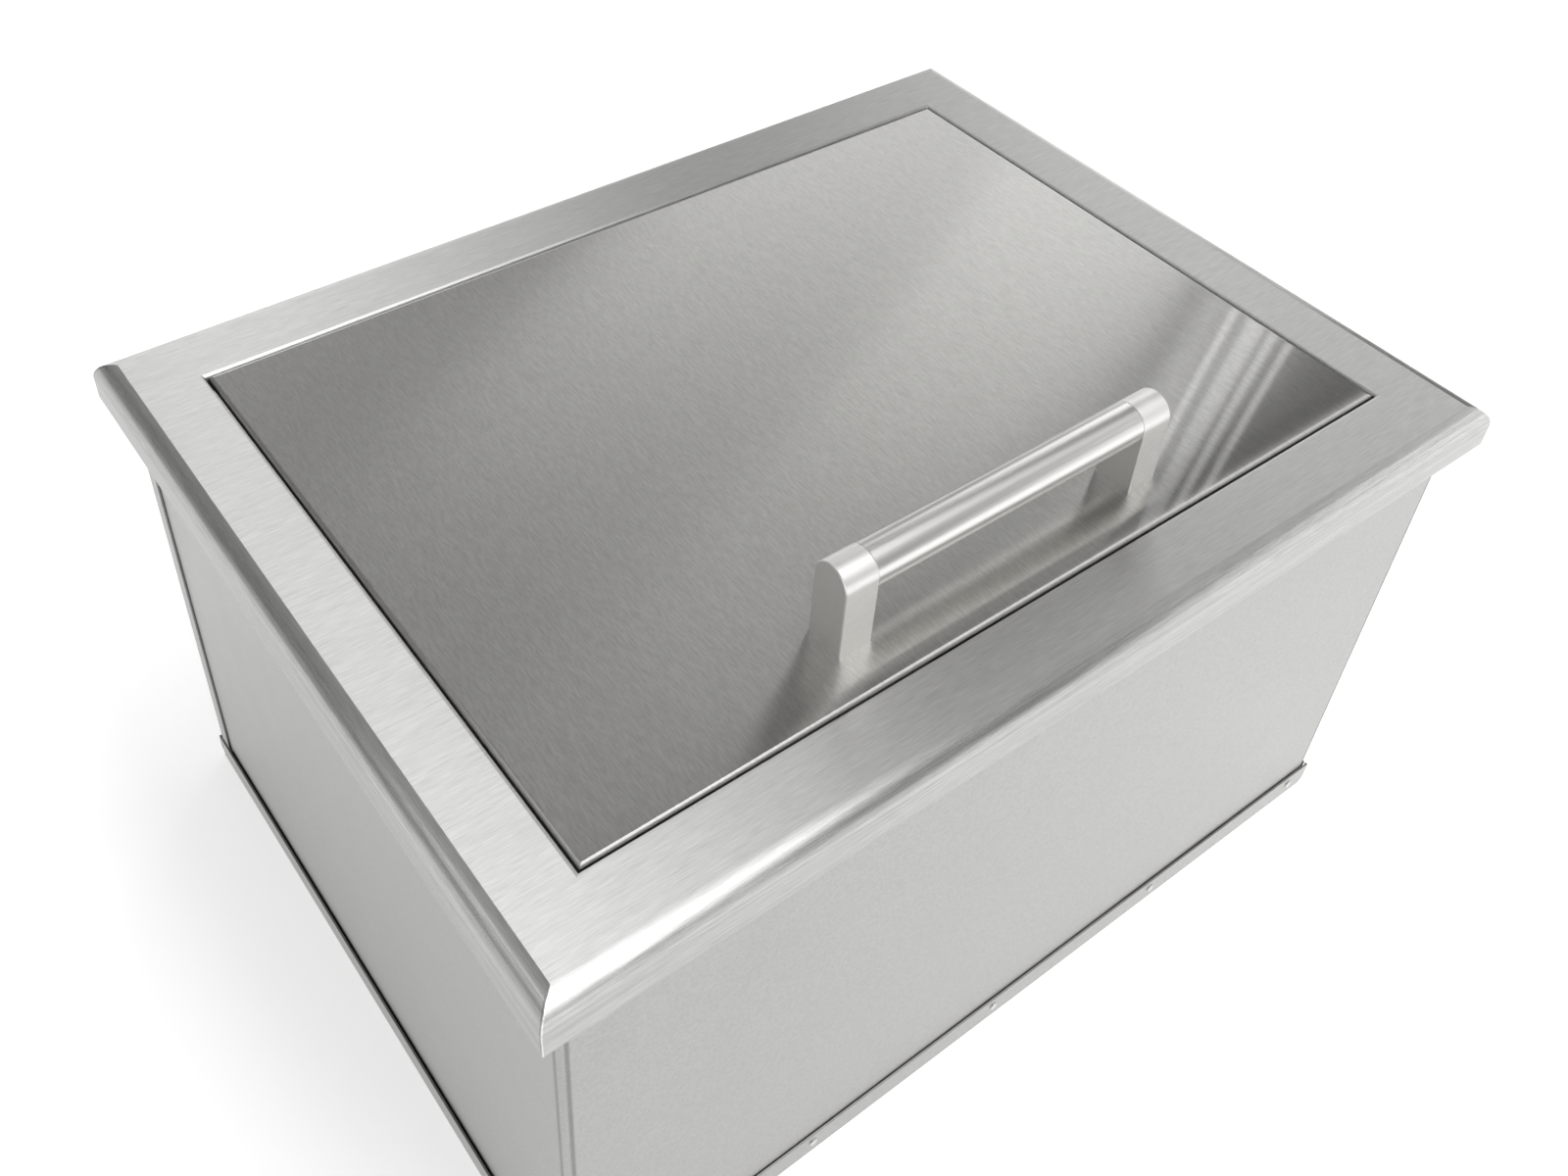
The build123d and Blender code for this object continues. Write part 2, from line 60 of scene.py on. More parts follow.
def math_node(tree, operation, first, second=None, third=None, clamp=False):
    node = add(tree, "ShaderNodeMath", operation=operation, use_clamp=clamp)
    for index, value in enumerate((first, second, third)):
        if value is None:
            continue
        if isinstance(value, (int, float)):
            node.inputs[index].default_value = value
        else:
            link(tree, value, node.inputs[index])
    return node.outputs[0]


def smooth_range(tree, value, from_low, from_high, to_low=0.0, to_high=1.0):
    node = add(tree, "ShaderNodeMapRange", interpolation_type="SMOOTHSTEP")
    link(tree, value, node.inputs["Value"])
    node.inputs["From Min"].default_value = from_low
    node.inputs["From Max"].default_value = from_high
    node.inputs["To Min"].default_value = to_low
    node.inputs["To Max"].default_value = to_high
    return node.outputs["Result"]


def stretched(tree, vector, scale):
    node = add(tree, "ShaderNodeMapping")
    link(tree, vector, node.inputs["Vector"])
    node.inputs["Scale"].default_value = scale
    return node.outputs["Vector"]


def noise(tree, vector, scale, detail=2.0, roughness=0.5):
    node = add(tree, "ShaderNodeTexNoise")
    link(tree, vector, node.inputs["Vector"])
    node.inputs["Scale"].default_value = scale
    node.inputs["Detail"].default_value = detail
    node.inputs["Roughness"].default_value = roughness
    return node.outputs["Fac"]


def separate(tree, vector):
    node = add(tree, "ShaderNodeSeparateXYZ")
    link(tree, vector, node.inputs[0])
    return [node.outputs[axis] for axis in "XYZ"]


def combine(tree, *parts):
    """A vector from up to three values or sockets; the parts left out stay 0."""
    node = add(tree, "ShaderNodeCombineXYZ")
    for axis, part in zip("XYZ", parts):
        if isinstance(part, (int, float)):
            node.inputs[axis].default_value = part
        else:
            link(tree, part, node.inputs[axis])
    return node.outputs["Vector"]


def pick_vector(tree, factor, first, second):
    """The first vector where the factor is 0, the second where it is 1."""
    node = add(tree, "ShaderNodeMix", data_type="VECTOR")
    link(tree, factor, node.inputs["Factor"])
    for label, value in (("A", first), ("B", second)):
        link(tree, value, [s for s in node.inputs if s.name == label and s.enabled][0])
    return [s for s in node.outputs if s.enabled][0]


def new_group(name, inputs, outputs):
    tree = bpy.data.node_groups.new(name, "ShaderNodeTree")
    for label, kind, value in inputs:
        socket = tree.interface.new_socket(label, in_out="INPUT", socket_type=kind)
        if value is not None:
            socket.default_value = value
    for label, kind in outputs:
        tree.interface.new_socket(label, in_out="OUTPUT", socket_type=kind)
    return tree, add(tree, "NodeGroupInput"), add(tree, "NodeGroupOutput")


def place_group(tree, group, **values):
    node = add(tree, "ShaderNodeGroup", node_tree=group)
    for label, value in values.items():
        socket = node.inputs[label.replace("_", " ")]
        if isinstance(value, (int, float, tuple)):
            socket.default_value = value
        else:
            link(tree, value, socket)
    return node


# Shared finishes

FLOAT = "NodeSocketFloat"
COLOUR = "NodeSocketColor"
VECTOR = "NodeSocketVector"


def grain_group():
    """Brushed strokes that run along the first axis of the vector it is given."""
    tree, start, end = new_group(
        "brushed grain",
        [("Vector", VECTOR, None), ("Stroke Length", FLOAT, 0.02), ("Stroke Width", FLOAT, 0.0004),
         ("Depth", FLOAT, 0.000004), ("Seed", FLOAT, 0.0)],
        [("Strokes", FLOAT), ("Height", FLOAT), ("Bands", FLOAT)],
    )
    vector = start.outputs["Vector"]
    per_length = math_node(tree, "DIVIDE", 1.0, start.outputs["Stroke Length"])
    per_width = math_node(tree, "DIVIDE", 1.0, start.outputs["Stroke Width"])
    scale = combine(tree, per_length, per_width, per_width)
    spread = add(tree, "ShaderNodeVectorMath", operation="MULTIPLY")
    link(tree, vector, spread.inputs[0])
    link(tree, scale, spread.inputs[1])
    offset = add(tree, "ShaderNodeVectorMath", operation="ADD")
    link(tree, spread.outputs["Vector"], offset.inputs[0])
    link(tree, start.outputs["Seed"], offset.inputs[1])
    fine = noise(tree, offset.outputs["Vector"], 1.0, detail=3.0, roughness=0.65)
    broad_vector = stretched(tree, offset.outputs["Vector"], (0.45, 0.28, 0.28))
    broad = noise(tree, broad_vector, 1.0, detail=2.0, roughness=0.6)
    broad_share = 0.18
    both = math_node(tree, "MULTIPLY", broad, broad_share)
    both = math_node(tree, "MULTIPLY_ADD", fine, 1.0 - broad_share, both)
    sharp = smooth_range(tree, both, 0.30, 0.70)
    link(tree, sharp, end.inputs["Strokes"])
    link(tree, math_node(tree, "MULTIPLY", both, start.outputs["Depth"]), end.inputs["Height"])
    link(tree, broad, end.inputs["Bands"])
    return tree


def waviness_group():
    """Slow unevenness of a thin sheet, as a height in metres."""
    tree, start, end = new_group(
        "sheet waviness",
        [("Vector", VECTOR, None), ("Span", FLOAT, 0.12), ("Amount", FLOAT, 0.0002)],
        [("Height", FLOAT)],
    )
    scale = math_node(tree, "DIVIDE", 1.0, start.outputs["Span"])
    node = add(tree, "ShaderNodeTexNoise")
    link(tree, start.outputs["Vector"], node.inputs["Vector"])
    link(tree, scale, node.inputs["Scale"])
    node.inputs["Detail"].default_value = 1.0
    height = math_node(tree, "MULTIPLY", node.outputs["Fac"], start.outputs["Amount"])
    link(tree, height, end.inputs["Height"])
    return tree


def mottle_group():
    """Cloudy mill finish: fine speckle over soft clouds."""
    tree, start, end = new_group(
        "mill mottle",
        [("Vector", VECTOR, None), ("Speckle", FLOAT, 0.0018), ("Cloud", FLOAT, 0.05)],
        [("Speckles", FLOAT), ("Clouds", FLOAT)],
    )
    for size, label, detail in (("Speckle", "Speckles", 3.0), ("Cloud", "Clouds", 2.0)):
        node = add(tree, "ShaderNodeTexNoise")
        link(tree, start.outputs["Vector"], node.inputs["Vector"])
        link(tree, math_node(tree, "DIVIDE", 1.0, start.outputs[size]), node.inputs["Scale"])
        node.inputs["Detail"].default_value = detail
        link(tree, smooth_range(tree, node.outputs["Fac"], 0.28, 0.72), end.inputs[label])
    return tree


def shade_group():
    """A base colour made a little lighter and darker by a pattern from 0 to 1."""
    tree, start, end = new_group(
        "tone by pattern",
        [("Colour", COLOUR, (0.7, 0.7, 0.7, 1.0)), ("Pattern", FLOAT, 0.5), ("Contrast", FLOAT, 0.1)],
        [("Colour", COLOUR)],
    )
    signed = math_node(tree, "SUBTRACT", start.outputs["Pattern"], 0.5)
    change = math_node(tree, "MULTIPLY", signed, start.outputs["Contrast"])
    factor = math_node(tree, "ADD", change, 1.0)
    scaled = add(tree, "ShaderNodeVectorMath", operation="SCALE")
    link(tree, start.outputs["Colour"], scaled.inputs[0])
    link(tree, factor, scaled.inputs["Scale"])
    link(tree, scaled.outputs["Vector"], end.inputs["Colour"])
    return tree


grain = grain_group()
waviness = waviness_group()
mottle = mottle_group()
shade = shade_group()


def new_material(name, colour, metallic, roughness, anisotropic=0.0):
    material = bpy.data.materials.new(name)
    material.use_nodes = True
    tree = material.node_tree
    shader = tree.nodes["Principled BSDF"]
    shader.inputs["Base Color"].default_value = colour + (1.0,)
    shader.inputs["Metallic"].default_value = metallic
    shader.inputs["Roughness"].default_value = roughness
    shader.inputs["Anisotropic"].default_value = anisotropic
    shader.inputs["Anisotropic Rotation"].default_value = 0.25
    where = add(tree, "ShaderNodeTexCoord").outputs["Object"]
    return material, tree, shader, where


def bump(tree, shader, height, distance=1.0, strength=1.0):
    node = add(tree, "ShaderNodeBump")
    node.inputs["Strength"].default_value = strength
    node.inputs["Distance"].default_value = distance
    link(tree, height, node.inputs["Height"])
    link(tree, node.outputs["Normal"], shader.inputs["Normal"])


def fixed_tangent(tree, shader, x, y, z):
    link(tree, combine(tree, x, y, z), shader.inputs["Tangent"])


def tone(tree, shader, colour, pattern, contrast):
    group = place_group(tree, shade, Colour=colour + (1.0,), Pattern=pattern, Contrast=contrast)
    link(tree, group.outputs["Colour"], shader.inputs["Base Color"])
    return group


def rim_steel():
    """Brushed along the long side on the flat, and along each side on the rounded edge."""
    colour = (0.62, 0.618, 0.61)
    flat_roughness = 0.31
    edge_smoother = 0.09
    seam_inner = 0.0003
    seam_outer = 0.0007
    shadow_offset = 0.0011
    material, tree, shader, where = new_material("brushed rim steel", colour, 1.0, 0.34, 1.0)
    x, y, z = separate(tree, where)
    across = math_node(tree, "ABSOLUTE", x)
    along = math_node(tree, "ABSOLUTE", y)
    down = math_node(tree, "SUBTRACT", rim_top, z)
    gap_x = math_node(tree, "SUBTRACT", half_length, across)
    gap_y = math_node(tree, "SUBTRACT", half_depth, along)

    past_rail = math_node(tree, "GREATER_THAN", across, half_length - bullnose)
    nearer_side = math_node(tree, "LESS_THAN", gap_x, gap_y)
    side = math_node(tree, "MULTIPLY", past_rail, nearer_side)
    not_side = math_node(tree, "SUBTRACT", 1.0, side)
    link(tree, combine(tree, not_side, side), shader.inputs["Tangent"])
    vector = pick_vector(tree, side, where, combine(tree, y, x, z))
    strokes = place_group(
        tree, grain, Vector=vector, Stroke_Length=0.013, Stroke_Width=0.0005, Depth=0.0000010)
    grained = tone(tree, shader, colour, strokes.outputs["Strokes"], 0.23)

    # Longer streaks, strong on the rounded edge and faint on the flat
    rounded = smooth_range(tree, down, 0.0002, 0.0012)
    streak = noise(tree, stretched(tree, vector, (9.0, 620.0, 620.0)), 1.0, detail=2.0, roughness=0.6)
    streak = smooth_range(tree, streak, 0.32, 0.68)
    strength = math_node(tree, "MULTIPLY_ADD", rounded, 0.15, 0.03)
    streaked = place_group(
        tree, shade, Colour=grained.outputs["Colour"], Pattern=streak, Contrast=strength)

    # Mitre seam on the rounded edge only: a painted highlight along the seam and a painted shadow line
    # just beside it
    off_mitre = math_node(tree, "SUBTRACT", gap_x, gap_y)
    off_shadow = math_node(tree, "ADD", off_mitre, shadow_offset)
    seam_highlight = smooth_range(tree, math_node(tree, "ABSOLUTE", off_mitre), seam_outer, seam_inner)
    seam_shadow = smooth_range(tree, math_node(tree, "ABSOLUTE", off_shadow), seam_outer, seam_inner)
    line = math_node(tree, "MULTIPLY_ADD", seam_highlight, 0.55, 0.5)
    line = math_node(tree, "MULTIPLY_ADD", seam_shadow, -0.30, line)
    seamed = place_group(
        tree, shade, Colour=streaked.outputs["Colour"], Pattern=line, Contrast=rounded)

    # Partly scuffing and partly painted shade: the rounded edge is made up to a quarter darker towards
    # its lower face, standing in for the dark it mirrors there
    painted_edge_shade = smooth_range(tree, down, 0.0005, 0.011, 0.5, 0.0)
    edge_shaded = place_group(tree, shade, Colour=seamed.outputs["Colour"], Pattern=painted_edge_shade, Contrast=0.52)
    link(tree, edge_shaded.outputs["Colour"], shader.inputs["Base Color"])

    level = math_node(tree, "MULTIPLY_ADD", strokes.outputs["Bands"], 0.06, flat_roughness)
    level = math_node(tree, "MULTIPLY_ADD", rounded, -edge_smoother, level)
    link(tree, level, shader.inputs["Roughness"])
    wave = place_group(tree, waviness, Vector=where, Span=0.07, Amount=0.00016)
    height = math_node(tree, "ADD", strokes.outputs["Height"], wave.outputs["Height"])
    bump(tree, shader, height)
    return material


def lid_steel():
    """Fine brushed from front to back under a clear coat; the sheet dips a little at its front edge."""
    colour = (0.55, 0.545, 0.524)
    near_reach = 0.010
    near_dip = 0.0020
    far_reach = 0.100
    far_dip = 0.0018
    material, tree, shader, where = new_material("brushed lid steel", colour, 1.0, 0.28, 1.0)
    shader.inputs["Coat Weight"].default_value = 1.0
    shader.inputs["Coat Roughness"].default_value = 0.03
    shader.inputs["Coat IOR"].default_value = 1.5
    x, y, z = separate(tree, where)
    strokes = place_group(
        tree, grain, Vector=combine(tree, y, x, z), Stroke_Length=0.005, Stroke_Width=0.0007,
        Depth=0.0000006)
    fixed_tangent(tree, shader, 0.0, 1.0, 0.0)
    tone(tree, shader, colour, strokes.outputs["Strokes"], 0.24)

    from_front = math_node(tree, "SUBTRACT", y, lid_front)
    near = math_node(tree, "EXPONENT", math_node(tree, "DIVIDE", from_front, -near_reach))
    far = math_node(tree, "EXPONENT", math_node(tree, "DIVIDE", from_front, -far_reach))
    dip = math_node(tree, "MULTIPLY", near, -near_dip)
    dip = math_node(tree, "MULTIPLY_ADD", far, -far_dip, dip)
    dip = math_node(tree, "MULTIPLY", dip, smooth_range(tree, x, -0.19, -0.07))
    wave = place_group(tree, waviness, Vector=where, Span=0.16, Amount=0.0002)
    height = math_node(tree, "ADD", strokes.outputs["Height"], wave.outputs["Height"])
    bump(tree, shader, math_node(tree, "ADD", height, dip))
    return material


def post_steel():
    colour = (0.86, 0.85, 0.83)
    material, tree, shader, where = new_material("satin post steel", colour, 1.0, 0.44)
    strokes = place_group(
        tree, grain, Vector=where, Stroke_Length=0.010, Stroke_Width=0.0005, Depth=0.000001)
    tone(tree, shader, colour, strokes.outputs["Strokes"], 0.07)
    bump(tree, shader, strokes.outputs["Height"])
    return material


def satin_steel():
    colour = (0.78, 0.77, 0.75)
    material, tree, shader, where = new_material("satin handle steel", colour, 1.0, 0.28, 0.35)
    strokes = place_group(
        tree, grain, Vector=where, Stroke_Length=0.012, Stroke_Width=0.0005, Depth=0.0000003)
    fixed_tangent(tree, shader, 1.0, 0.0, 0.0)
    tone(tree, shader, colour, strokes.outputs["Strokes"], 0.08)
    bump(tree, shader, strokes.outputs["Height"])
    return material


def mill_steel(name, bend_shade_box=None):
    """Dull sheet; where it is given the box of a folded sheet, its front bends get painted shade: dark
    lines along both edges of each bend.
    """
    colour = (0.388, 0.387, 0.379)
    roughness = 0.36
    material, tree, shader, where = new_material(name, colour, 1.0, roughness)
    cloud = place_group(tree, mottle, Vector=where, Speckle=0.0014, Cloud=0.040)
    first = place_group(
        tree, shade, Colour=colour + (1.0,), Pattern=cloud.outputs["Speckles"], Contrast=0.14)
    second = place_group(
        tree, shade, Colour=first.outputs["Colour"], Pattern=cloud.outputs["Clouds"], Contrast=0.07)
    link(tree, second.outputs["Colour"], shader.inputs["Base Color"])
    if bend_shade_box:
        x, y, _ = separate(tree, where)
        low, high = bend_shade_box
        inward = math_node(tree, "SUBTRACT", high.x, math_node(tree, "ABSOLUTE", x))
        back = math_node(tree, "SUBTRACT", y, low.y)
        off = math_node(tree, "SUBTRACT", math_node(tree, "MAXIMUM", inward, back), bend_radius)
        # Painted shade: dark lines along both edges of each front bend, standing in for the shading of
        # the curved bend
        bend_edge_shade = smooth_range(tree, math_node(tree, "ABSOLUTE", off), 0.0018, 0.0003, 0.5, 0.0)
        bend_shaded = place_group(
            tree, shade, Colour=second.outputs["Colour"], Pattern=bend_edge_shade, Contrast=0.9)
        link(tree, bend_shaded.outputs["Colour"], shader.inputs["Base Color"])
    level = math_node(tree, "MULTIPLY_ADD", cloud.outputs["Clouds"], 0.06, roughness - 0.03)
    link(tree, level, shader.inputs["Roughness"])
    wave = place_group(tree, waviness, Vector=where, Span=0.2, Amount=0.0004)
    fine = math_node(tree, "MULTIPLY", cloud.outputs["Speckles"], 0.000002)
    bump(tree, shader, math_node(tree, "ADD", fine, wave.outputs["Height"]))
    return material


def liner_steel():
    colour = (0.70, 0.70, 0.69)
    material, tree, shader, where = new_material("satin liner steel", colour, 1.0, 0.30)
    strokes = place_group(
        tree, grain, Vector=where, Stroke_Length=0.03, Stroke_Width=0.0011, Depth=0.000004)
    cloud = place_group(tree, mottle, Vector=where, Speckle=0.003, Cloud=0.06)
    tone(tree, shader, colour, strokes.outputs["Strokes"], 0.08)
    level = math_node(tree, "MULTIPLY_ADD", cloud.outputs["Clouds"], 0.10, 0.25)
    link(tree, level, shader.inputs["Roughness"])
    bump(tree, shader, strokes.outputs["Height"])
    return material


def plain_metal(name, colour, roughness, contrast=0.12):
    material, tree, shader, where = new_material(name, colour, 1.0, roughness)
    cloud = place_group(tree, mottle, Vector=where, Speckle=0.0008, Cloud=0.006)
    tone(tree, shader, colour, cloud.outputs["Clouds"], contrast)
    level = math_node(tree, "MULTIPLY_ADD", cloud.outputs["Speckles"], 0.08, roughness - 0.04)
    link(tree, level, shader.inputs["Roughness"])
    bump(tree, shader, math_node(tree, "MULTIPLY", cloud.outputs["Speckles"], 0.00001))
    return material


def rubber(name, colour):
    material, tree, shader, where = new_material(name, colour, 0.0, 0.62)
    cloud = place_group(tree, mottle, Vector=where, Speckle=0.0007, Cloud=0.012)
    tone(tree, shader, colour, cloud.outputs["Clouds"], 0.35)
    level = math_node(tree, "MULTIPLY_ADD", cloud.outputs["Speckles"], 0.12, 0.56)
    link(tree, level, shader.inputs["Roughness"])
    bump(tree, shader, math_node(tree, "MULTIPLY", cloud.outputs["Speckles"], 0.00003))
    return material


def foam():
    colour = (0.88, 0.82, 0.62)
    material, tree, shader, where = new_material("poured foam", colour, 0.0, 0.85)
    cells = add(tree, "ShaderNodeTexVoronoi", feature="F1")
    link(tree, where, cells.inputs["Vector"])
    cells.inputs["Scale"].default_value = 650.0
    cloud = place_group(tree, mottle, Vector=where, Speckle=0.004, Cloud=0.05)
    tone(tree, shader, colour, cloud.outputs["Clouds"], 0.18)
    bump(tree, shader, math_node(tree, "MULTIPLY", cells.outputs["Distance"], 0.0004))
    return material


def plastic():
    colour = (0.85, 0.85, 0.83)
    material, tree, shader, where = new_material("slip washer plastic", colour, 0.0, 0.42)
    cloud = place_group(tree, mottle, Vector=where, Speckle=0.001, Cloud=0.01)
    tone(tree, shader, colour, cloud.outputs["Clouds"], 0.06)
    bump(tree, shader, math_node(tree, "MULTIPLY", cloud.outputs["Speckles"], 0.00001))
    return material


def dress(material, *names):
    for name in names:
        slots = nodes[name].data.materials
        slots.clear()
        slots.append(material)


dress(rim_steel(), "rim_frame")
dress(lid_steel(), "lid_skin")
dress(satin_steel(), "handle_bar")
dress(post_steel(), "handle_post_left", "handle_post_right")
dress(mill_steel("mill sheet steel"), "back_panel", "bottom_pan")
dress(mill_steel("folded mill sheet steel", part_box("body_wrap")), "body_wrap")
dress(liner_steel(), "ice_liner", "lid_inner_pan")
dress(plain_metal("rivet aluminium", (0.62, 0.62, 0.62), 0.38), "front_rivets", "back_rivets")
dress(plain_metal("polished drain metal", (0.80, 0.80, 0.80), 0.12, 0.05), "drain_body", "drain_strainer")
dress(plain_metal("fastener steel", (0.65, 0.65, 0.66), 0.30), "handle_screws", "handle_washers")
dress(plain_metal("locknut brass", (0.72, 0.55, 0.28), 0.30), "drain_locknut")
dress(rubber("seal rubber", (0.05, 0.05, 0.05)), "lid_gasket", "drain_top_gasket", "drain_lower_gasket")
dress(rubber("plug rubber", (0.08, 0.08, 0.08)), "drain_plug")
dress(foam(), "foam_bottom", "foam_front", "foam_back", "foam_left", "foam_right", "lid_foam")
dress(plastic(), "drain_slip_washer")


# Studio: pale floor, sky of soft panels, camera


def pale_floor():
    bpy.ops.object.select_all(action="DESELECT")
    bpy.ops.mesh.primitive_circle_add(
        vertices=96, radius=30.0, fill_type="NGON", location=(0.0, 0.0, -0.0006))
    floor = bpy.context.object
    floor.name = "studio_floor"
    bpy.ops.object.transform_apply(location=True, rotation=False, scale=False)
    material, tree, shader, where = new_material("pale studio floor", (0.86, 0.86, 0.86), 0.0, 1.0)
    shader.inputs["Specular IOR Level"].default_value = 0.0
    shader.inputs["Emission Color"].default_value = (1.0, 1.0, 1.0, 1.0)
    path = add(tree, "ShaderNodeLightPath")
    seen = math_node(tree, "ADD", path.outputs["Is Camera Ray"], path.outputs["Is Glossy Ray"])
    seen = math_node(tree, "ADD", seen, path.outputs["Is Transmission Ray"], clamp=True)
    x, y, _ = separate(tree, where)
    towards_front_right = math_node(tree, "SUBTRACT", x, y)
    glow = smooth_range(tree, towards_front_right, -0.3, 0.7, 0.54, 0.80)
    link(tree, math_node(tree, "MULTIPLY", seen, glow), shader.inputs["Emission Strength"])
    floor.data.materials.append(material)


def soft_rectangle(tree, start, sides):
    """1 in the middle and 0 outside; each side is a distance and the names of its half size and edge."""
    shape = None
    for value, half, soft in sides:
        inner = math_node(tree, "SUBTRACT", start.outputs[half], start.outputs[soft])
        outer = math_node(tree, "ADD", start.outputs[half], start.outputs[soft])
        edge = add(tree, "ShaderNodeMapRange", interpolation_type="SMOOTHSTEP")
        link(tree, value, edge.inputs["Value"])
        link(tree, outer, edge.inputs["From Min"])
        link(tree, inner, edge.inputs["From Max"])
        result = edge.outputs["Result"]
        shape = result if shape is None else math_node(tree, "MULTIPLY", shape, result)
    return shape


def softbox_group():
    """A soft rectangle in the sky, in degrees of azimuth and elevation."""
    tree, start, end = new_group(
        "softbox",
        [("Azimuth", FLOAT, 0.0), ("Elevation", FLOAT, 0.0),
         ("At Azimuth", FLOAT, 0.0), ("At Elevation", FLOAT, 0.0),
         ("Half Width", FLOAT, 10.0), ("Half Height", FLOAT, 10.0),
         ("Soft Side", FLOAT, 5.0), ("Soft Top", FLOAT, 5.0), ("Lean", FLOAT, 0.0)],
        [("Shape", FLOAT)],
    )
    rise = math_node(tree, "SUBTRACT", start.outputs["Elevation"], start.outputs["At Elevation"])
    lean = math_node(tree, "MULTIPLY", rise, start.outputs["Lean"])
    off = math_node(tree, "SUBTRACT", start.outputs["Azimuth"], start.outputs["At Azimuth"])
    off = math_node(tree, "SUBTRACT", off, lean)
    off = math_node(tree, "ABSOLUTE", math_node(tree, "WRAP", off, 180.0, -180.0))
    rise = math_node(tree, "ABSOLUTE", rise)
    sides = ((off, "Half Width", "Soft Side"), (rise, "Half Height", "Soft Top"))
    link(tree, soft_rectangle(tree, start, sides), end.inputs["Shape"])
    return tree


def ceiling_group():
    """A soft rectangle on a flat ceiling one unit above."""
    tree, start, end = new_group(
        "ceiling panel",
        [("Across", FLOAT, 0.0), ("Back", FLOAT, 0.0), ("At Across", FLOAT, 0.0), ("At Back", FLOAT, 0.0),
         ("Half Width", FLOAT, 0.2), ("Half Depth", FLOAT, 0.2), ("Soft Edge", FLOAT, 0.05)],
        [("Shape", FLOAT)],
    )
    sides = []
    for label, at, half in (("Across", "At Across", "Half Width"), ("Back", "At Back", "Half Depth")):
        off = math_node(tree, "SUBTRACT", start.outputs[label], start.outputs[at])
        sides.append((math_node(tree, "ABSOLUTE", off), half, "Soft Edge"))
    link(tree, soft_rectangle(tree, start, sides), end.inputs["Shape"])
    return tree


# Parts of the window at the right: name, angle towards the back, elevation, half width, half height,
# soft edge at the sides, soft edge at the top, power
WINDOW = [
    ("window", 30.1, 18.0, 3.9, 21.0, 0.7, 9.0, 1.55),
    ("window beside it", 39.0, 16.0, 5.0, 21.0, 0.7, 9.0, 1.25),
    ("low wall behind", 51.0, 4.0, 7.0, 4.0, 0.7, 0.7, 0.25),
    ("top of the wall behind", 51.0, 36.0, 7.0, 6.0, 0.9, 5.0, 0.35),
    ("lamp behind", 66.5, 19.0, 8.5, 11.0, 2.0, 4.0, 1.2),
]

# Soft lights: name, azimuth from +X towards +Y, elevation, half width, half height, soft edge,
# lean in degrees per degree of elevation, power
SOFTBOXES = [
    ("low light right", -22.0, 6.0, 15.0, 8.0, 4.0, 0.0, 1.2),
    ("high light right", -22.0, 46.0, 15.0, 8.0, 4.0, 0.0, 0.45),
    ("low light front right", -42.0, 8.0, 11.0, 9.0, 5.0, 0.0, 1.1),
    ("low light front left", -140.0, 12.0, 24.0, 14.0, 5.0, 0.0, 0.8),
]

# Dark curtain beside the window, placed as the window's parts are: one soft edge for all sides,
# then the share of the light that it holds back
CARDS = [
    ("curtain", 22.4, 35.0, 3.4, 45.0, 0.6, 0.8),
]

# Narrow gaps of light in the curtain, placed as the soft lights are
STRIPS = [
    ("gap one", 31.2, 35.0, 0.5, 24.0, 0.5, 0.25, 1.1),
    ("gap two", 30.25, 35.0, 0.15, 24.0, 0.12, 0.25, 3.6),
    ("gap three", 29.2, 35.0, 0.38, 24.0, 0.16, 0.25, 2.7),
    ("gap four", 28.35, 35.0, 0.18, 24.0, 0.12, 0.25, 3.2),
    ("gap five", 27.6, 35.0, 0.15, 24.0, 0.12, 0.25, 3.6),
]

# Panels on the ceiling: name, across (+X) and back (+Y) per unit of height, half width, half depth,
# soft edge, power
CEILING = [
    ("panel far to the left", -1.00, -0.8, 0.50, 0.9, 0.12, 0.3),
    ("narrow panel left", 0.00, -0.7, 0.10, 0.8, 0.05, 0.6),
    ("panel over the left rail", 0.20, -0.7, 0.10, 0.8, 0.05, 3.9),
    ("panel over the middle", 0.40, -0.7, 0.10, 0.8, 0.05, 2.6),
    ("panel over the right", 0.60, -0.7, 0.10, 0.8, 0.05, 0.35),
    ("panel far to the right", 1.60, -0.7, 0.34, 0.8, 0.05, 1.2),
    ("panel far behind", 0.40, 2.2, 0.50, 0.7, 0.10, 0.75),
    ("panel behind left", -0.92, 0.66, 0.34, 0.26, 0.12, 1.1),
]


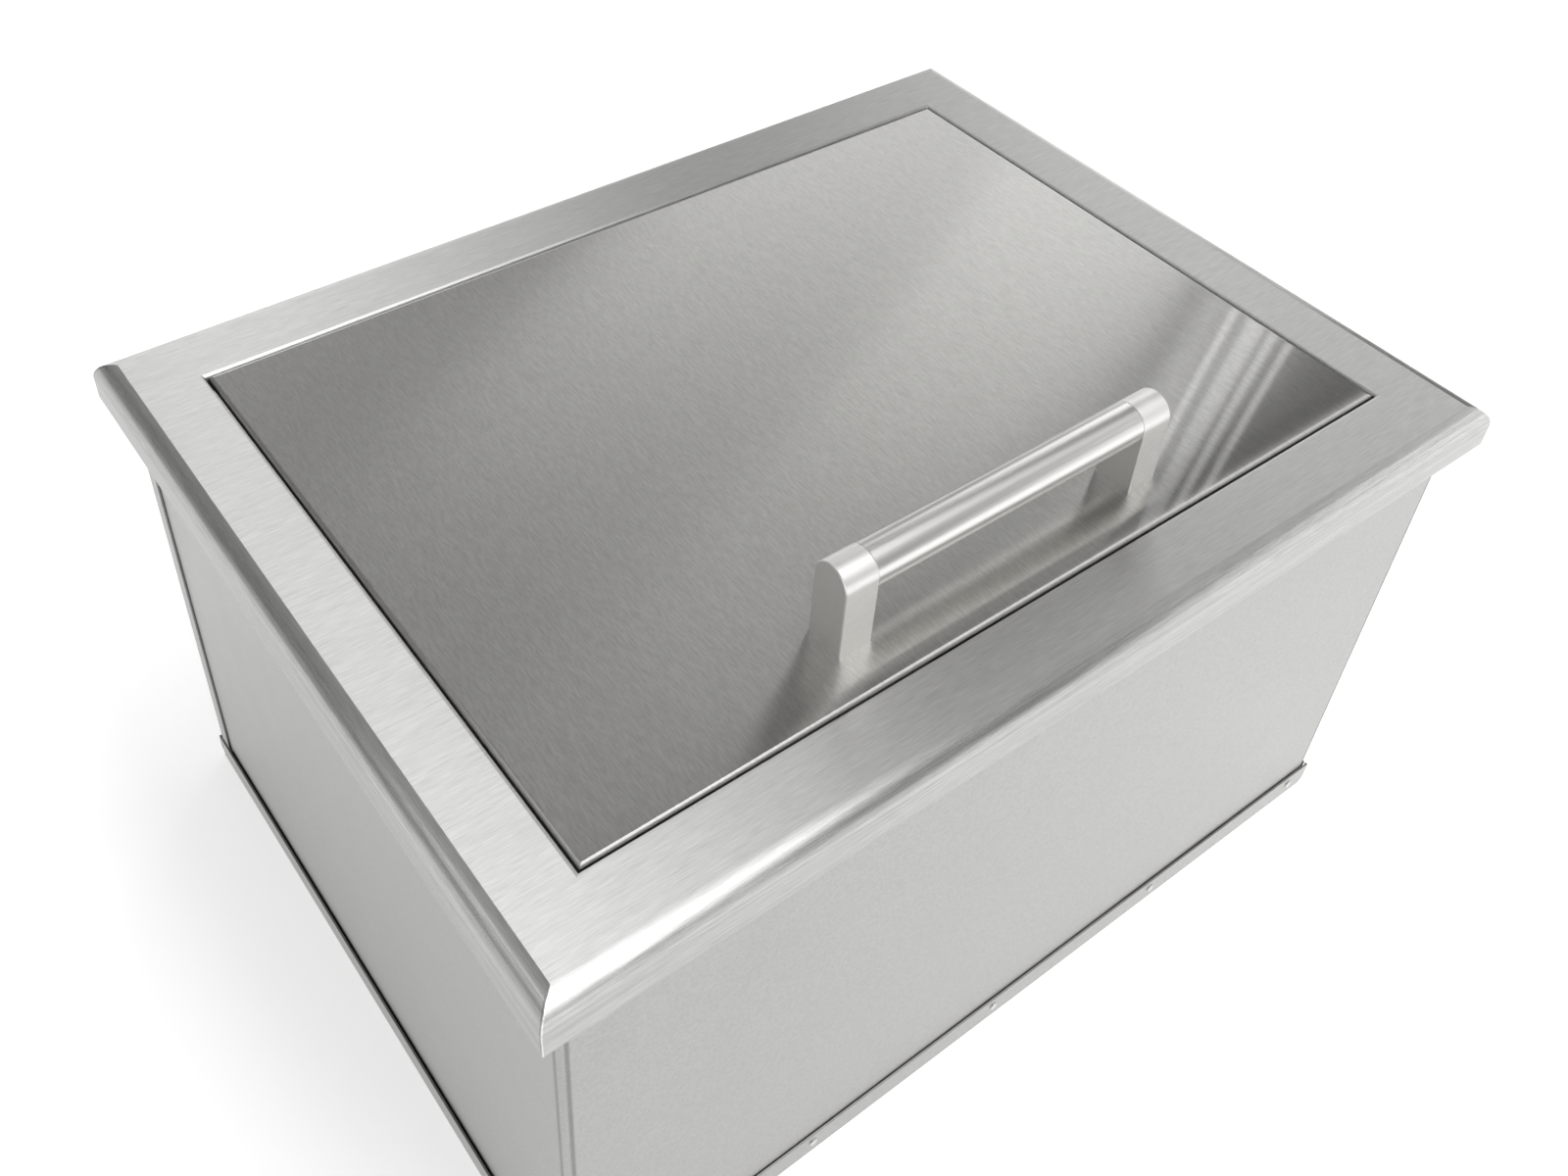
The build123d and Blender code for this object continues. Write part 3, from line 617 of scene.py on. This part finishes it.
def studio_sky(window, softboxes, ceiling, cards, strips, base=0.22):
    """A dim sky with soft lights in it, all in one strength."""
    lowest_rise = 0.05
    world = bpy.data.worlds.new("studio sky")
    bpy.context.scene.world = world
    world.use_nodes = True
    tree = world.node_tree
    background = tree.nodes["Background"]
    x, y, z = separate(tree, add(tree, "ShaderNodeTexCoord").outputs["Generated"])
    azimuth = math_node(tree, "DEGREES", math_node(tree, "ARCTAN2", y, x))
    elevation = math_node(tree, "DEGREES", math_node(tree, "ARCSINE", z))
    side_angle = math_node(tree, "DEGREES", math_node(tree, "ARCSINE", y))
    on_right = smooth_range(tree, x, 0.0, 0.08)
    softbox = softbox_group()
    panel = ceiling_group()

    def shape(name, turn, at_turn, at_elevation, half_width, half_height, side_edge, top_edge, lean=0.0):
        box = place_group(
            tree, softbox, Azimuth=turn, Elevation=elevation, At_Azimuth=at_turn,
            At_Elevation=at_elevation, Half_Width=half_width, Half_Height=half_height,
            Soft_Side=side_edge, Soft_Top=top_edge, Lean=lean)
        box.label = name
        return box.outputs["Shape"]

    def with_lights(total, lights):
        for name, at_azimuth, at_elevation, half_width, half_height, edge, lean, power in lights:
            light = shape(
                name, azimuth, at_azimuth, at_elevation, half_width, half_height, edge, edge, lean)
            total = math_node(tree, "MULTIPLY_ADD", light, power, total)
        return total

    total = base
    for name, at_angle, at_elevation, half_width, half_height, side_edge, top_edge, power in window:
        light = shape(
            name, side_angle, at_angle, at_elevation, half_width, half_height, side_edge, top_edge)
        light = math_node(tree, "MULTIPLY", light, on_right)
        total = math_node(tree, "MULTIPLY_ADD", light, power, total)
    total = with_lights(total, softboxes)

    height = math_node(tree, "MAXIMUM", z, lowest_rise)
    across = math_node(tree, "DIVIDE", x, height)
    back = math_node(tree, "DIVIDE", y, height)
    above = smooth_range(tree, z, 0.08, 0.16)
    for name, at_across, at_back, half_width, half_depth, edge, power in ceiling:
        light = place_group(
            tree, panel, Across=across, Back=back, At_Across=at_across, At_Back=at_back,
            Half_Width=half_width, Half_Depth=half_depth, Soft_Edge=edge)
        light.label = name
        light = math_node(tree, "MULTIPLY", light.outputs["Shape"], above)
        total = math_node(tree, "MULTIPLY_ADD", light, power, total)

    for name, at_angle, at_elevation, half_width, half_height, edge, held in cards:
        dark = shape(name, side_angle, at_angle, at_elevation, half_width, half_height, edge, edge)
        dark = math_node(tree, "MULTIPLY", dark, on_right)
        let_by = math_node(tree, "MULTIPLY_ADD", dark, -held, 1.0)
        total = math_node(tree, "MULTIPLY", total, let_by)
    total = with_lights(total, strips)

    # The pale floor goes on into a thin pale line along the horizon
    horizon = smooth_range(tree, elevation, 3.2, 1.8)
    total = math_node(tree, "MAXIMUM", total, horizon)
    link(tree, total, background.inputs["Strength"])
    background.inputs["Color"].default_value = (1.0, 1.0, 1.0, 1.0)


def photo_camera():
    data = bpy.data.cameras.new("photo camera")
    camera = bpy.data.objects.new("photo_camera", data)
    bpy.context.scene.collection.objects.link(camera)
    data.sensor_width = 36.0
    data.lens = 36.38
    data.shift_x = 0.03125
    data.shift_y = -0.1125
    data.clip_start = 0.01
    data.clip_end = 100.0
    camera.location = (-0.4415, -0.4950, 0.8996)
    camera.rotation_euler = tuple(math.radians(v) for v in (48.914, -2.29, -36.745))
    bpy.context.scene.camera = camera


pale_floor()
studio_sky(WINDOW, SOFTBOXES, CEILING, CARDS, STRIPS)
photo_camera()

bpy.context.scene.view_settings.view_transform = "Standard"
